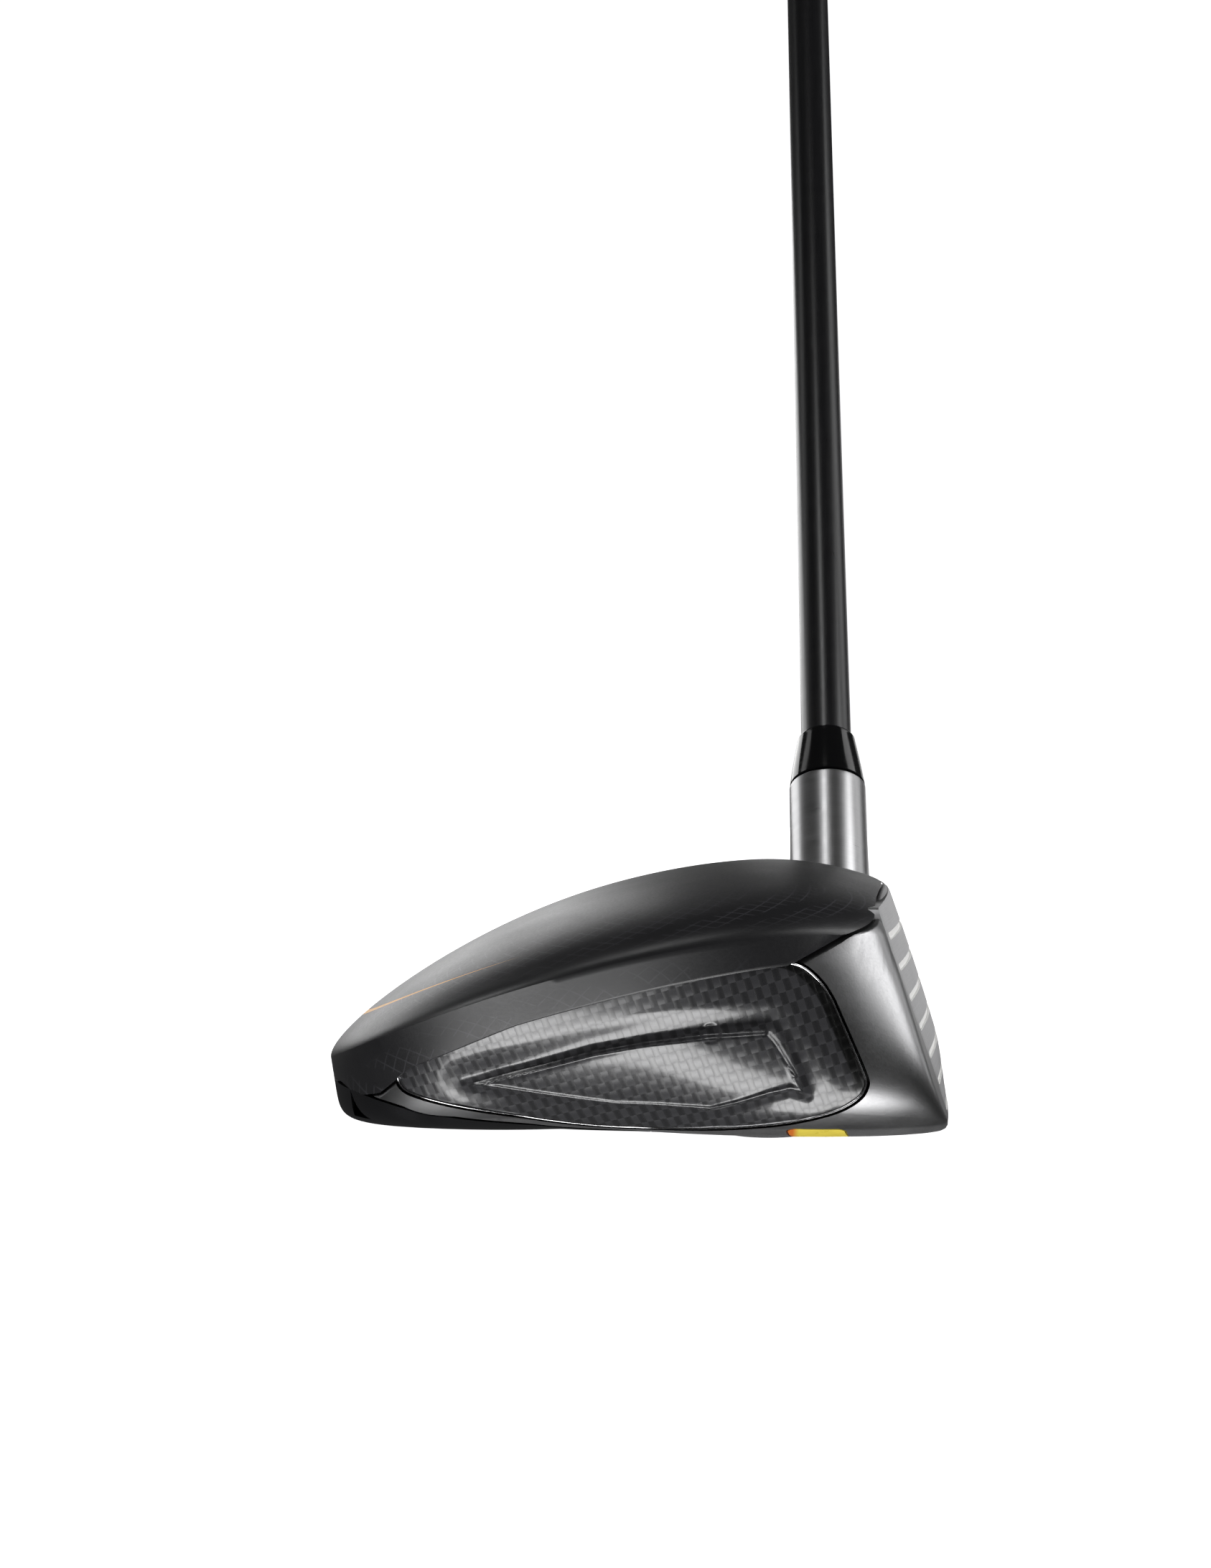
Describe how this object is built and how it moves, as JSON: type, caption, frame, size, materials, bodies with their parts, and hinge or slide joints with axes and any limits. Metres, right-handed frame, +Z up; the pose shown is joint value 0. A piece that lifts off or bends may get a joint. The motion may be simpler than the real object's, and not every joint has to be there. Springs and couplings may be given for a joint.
{
  "type": "fairway wood",
  "caption": "Fairway wood golf club with a two-material head, side panels, a screw-held sole weight, black graphite shaft and rubber grip.",
  "frame": {"origin": "on the ground under the middle of the sole, on the sole's small rest flat, in the plane of the shaft's axis", "axes": "+X is the target line that the face looks along, +Y runs from toe to heel, +Z is up at address"},
  "size_m": [0.0875, 0.6752, 0.9226],
  "materials": {
    "cast_steel": "satin dark grey cast steel",
    "brushed_hosel_steel": "steel brushed round the tube",
    "milled_face_steel": "brushed steel face with white filled score lines",
    "matte_crown": "matte black lacquer over carbon composite",
    "carbon_panel": "moulded composite with a basket weave texture under clear lacquer",
    "bright_trim": "polished thin edge",
    "black_weight": "black coated steel",
    "black_screw": "black coated steel",
    "rear_cartridge": "black coated dense metal, semi gloss",
    "yellow_enamel": "yellow enamel",
    "gloss_ferrule": "gloss black plastic",
    "graphite_shaft": "satin black lacquered graphite tube",
    "tip_metal": "plain metal",
    "tape_paper": "paper tape",
    "grip_rubber": "black rubber with a cut pattern"
  },
  "bodies": {
    "club": {"head_body": "cast_steel", "hosel": "brushed_hosel_steel", "face_plate": "milled_face_steel", "crown_shell": "matte_crown", "toe_panel": "carbon_panel", "heel_panel": "carbon_panel", "toe_trim": "bright_trim", "heel_trim": "bright_trim", "toe_brace": "cast_steel", "heel_brace": "cast_steel", "weight_port": "cast_steel", "rear_weight": "rear_cartridge", "sole_badge": "yellow_enamel", "ferrule": "gloss_ferrule", "shaft": "graphite_shaft", "tip_weight": "tip_metal", "grip_tape": "tape_paper", "grip": "grip_rubber", "grip_cap": "grip_rubber"},
    "sole_weight": {"sole_weight": "black_weight"},
    "weight_screw": {"weight_screw": "black_screw"}
  },
  "joints": [
    {"name": "weight_slide", "type": "slide", "parent": "club", "child": "sole_weight", "axis": [0, 0, -1], "range_m": [0, 0.008]},
    {"name": "weight_screw_turn", "type": "hinge", "parent": "sole_weight", "child": "weight_screw", "pos_m": [-0.0115, -0.014, 0.002], "axis": [0, 0, -1], "range_deg": [0, 3601]}
  ],
  "couplings": [
    {"joint": "weight_screw_turn", "follows": "weight_slide", "rad_per_m": 7854}
  ]
}
